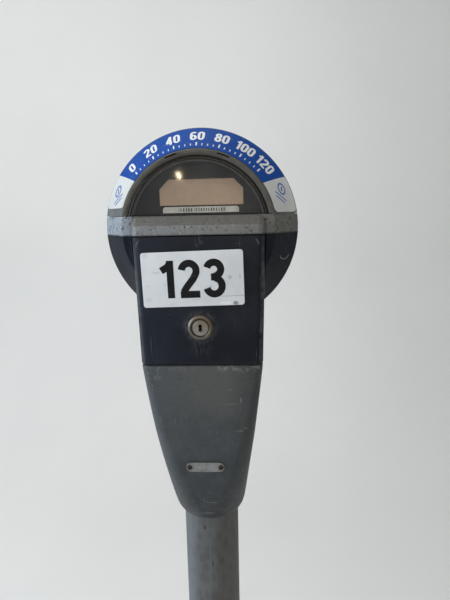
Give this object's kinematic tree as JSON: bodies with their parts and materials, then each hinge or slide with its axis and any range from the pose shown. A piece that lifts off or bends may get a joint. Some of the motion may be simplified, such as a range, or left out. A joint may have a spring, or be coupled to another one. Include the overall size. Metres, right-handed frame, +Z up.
{
  "type": "parking meter",
  "caption": "Post-mounted single-space parking meter: half-disc hinged lid over a display, lockable vault door with a coin box behind, tapered casting on a flanged round post.",
  "frame": {"origin": "centre of the underside of the base flange, on the post axis", "axes": "+Z up along the post; the display, vault door and its lock face -Y; the coin entry faces +Y; +X to the right seen from the front"},
  "size_m": [0.2, 0.2, 1.2928],
  "materials": {
    "post_steel": "weathered galvanised",
    "weld_steel": "rough weld",
    "grey_casting": "worn grey paint over a casting",
    "navy_paint": "dark navy enamel, scuffed",
    "lid_metal": "worn bare die casting",
    "dial_print": "printed film, blue with white ends",
    "plate_white": "printed plate with black digits",
    "lock_metal": "worn plated lock",
    "steel_zinc": "zinc-plated steel",
    "steel_dark": "blackened steel",
    "rusty_rivet": "rusted rivet",
    "plate_alloy": "brushed alloy plate",
    "mask_black": "moulded display mask",
    "lcd_tan": "tan liquid-crystal display",
    "label_silver": "silver label strip",
    "circuit_board": "green solder mask",
    "cell_wrap": "wrapped cells",
    "plastic_dark": "dark moulded plastic",
    "clear_window": "clear polycarbonate",
    "rubber_black": "seal",
    "button_red": "moulded button",
    "lens_red": "translucent lens"
  },
  "bodies": {
    "stand": {"base_flange": "post_steel", "post_weld": "weld_steel", "post": "post_steel", "pedestal_casting": "grey_casting", "socket_screws": "steel_dark", "id_plate": "plate_alloy", "id_plate_rivets": "rusty_rivet", "housing_gasket": "rubber_black", "housing_bolts": "steel_zinc", "main_housing": "navy_paint", "coin_box_rails": "steel_zinc", "vault_hinge_pins": "steel_zinc", "mechanism_frame": "steel_zinc", "mechanism_screws": "steel_zinc", "display_mask": "mask_black", "lcd_panel": "lcd_tan", "label_strip": "label_silver", "display_board": "circuit_board", "control_board": "circuit_board", "battery_holder": "plastic_dark", "battery_cells": "cell_wrap", "coin_validator": "plastic_dark", "coin_chute": "steel_zinc", "rear_faceplate": "plastic_dark", "coin_entry_bezel": "lock_metal", "coin_gate_pin": "steel_zinc", "button_spring": "steel_zinc", "lamp_lenses": "lens_red", "lid_hinge_pin": "steel_zinc", "hinge_pin_clips": "steel_dark"},
    "lid": {"lid": "lid_metal", "front_window": "clear_window", "window_gasket": "rubber_black", "window_retainer": "steel_zinc", "lid_seal": "rubber_black", "dial_band": "dial_print", "lid_catch": "steel_zinc", "lid_catch_screws": "steel_zinc"},
    "lid_lock": {"lid_lock_cylinder": "lock_metal", "lid_lock_cam": "steel_zinc", "lid_lock_nut": "steel_dark"},
    "vault_door": {"vault_door": "navy_paint", "number_plate": "plate_white", "vault_lock_collar": "lock_metal"},
    "vault_lock": {"vault_lock_cylinder": "lock_metal", "vault_lock_cam": "steel_zinc", "vault_cam_screw": "steel_dark"},
    "coin_box": {"coin_box": "steel_zinc", "coin_box_lid": "steel_zinc", "coin_box_handle": "steel_dark"},
    "coin_gate": {"coin_gate": "steel_zinc"},
    "rear_button": {"rear_button": "button_red"}
  },
  "joints": [
    {"name": "lid_hinge", "type": "hinge", "parent": "stand", "child": "lid", "pos_m": [0, 0.062, 1.214], "axis": [-1, 0, 0], "range_deg": [0, 100]},
    {"name": "lid_lock_turn", "type": "hinge", "parent": "stand", "child": "lid_lock", "pos_m": [0.08, 0, 1.198], "axis": [-1, 0, 0], "range_deg": [0, 90]},
    {"name": "vault_door_hinge", "type": "hinge", "parent": "stand", "child": "vault_door", "pos_m": [-0.0522, -0.055, 1.1952], "axis": [0.0217, 0, -0.9998], "range_deg": [0, 80]},
    {"name": "vault_lock_turn", "type": "hinge", "parent": "vault_door", "child": "vault_lock", "pos_m": [0, -0.055, 1.1115], "axis": [0, 1, 0], "range_deg": [0, 90]},
    {"name": "coin_box_slide", "type": "slide", "parent": "stand", "child": "coin_box", "axis": [0, -1, 0], "range_m": [0, 0.028]},
    {"name": "coin_gate_swing", "type": "hinge", "parent": "stand", "child": "coin_gate", "pos_m": [0, 0.0442, 1.256], "axis": [-1, 0, 0], "range_deg": [0, 30]},
    {"name": "rear_button_press", "type": "slide", "parent": "stand", "child": "rear_button", "axis": [0, -1, 0], "range_m": [0, 0.0022], "stiffness_N_per_m": 300, "springref_m": -0.001}
  ],
  "couplings": [
    {"joint": "coin_box_slide", "follows": "vault_door_hinge", "m_per_rad": 0.02}
  ]
}
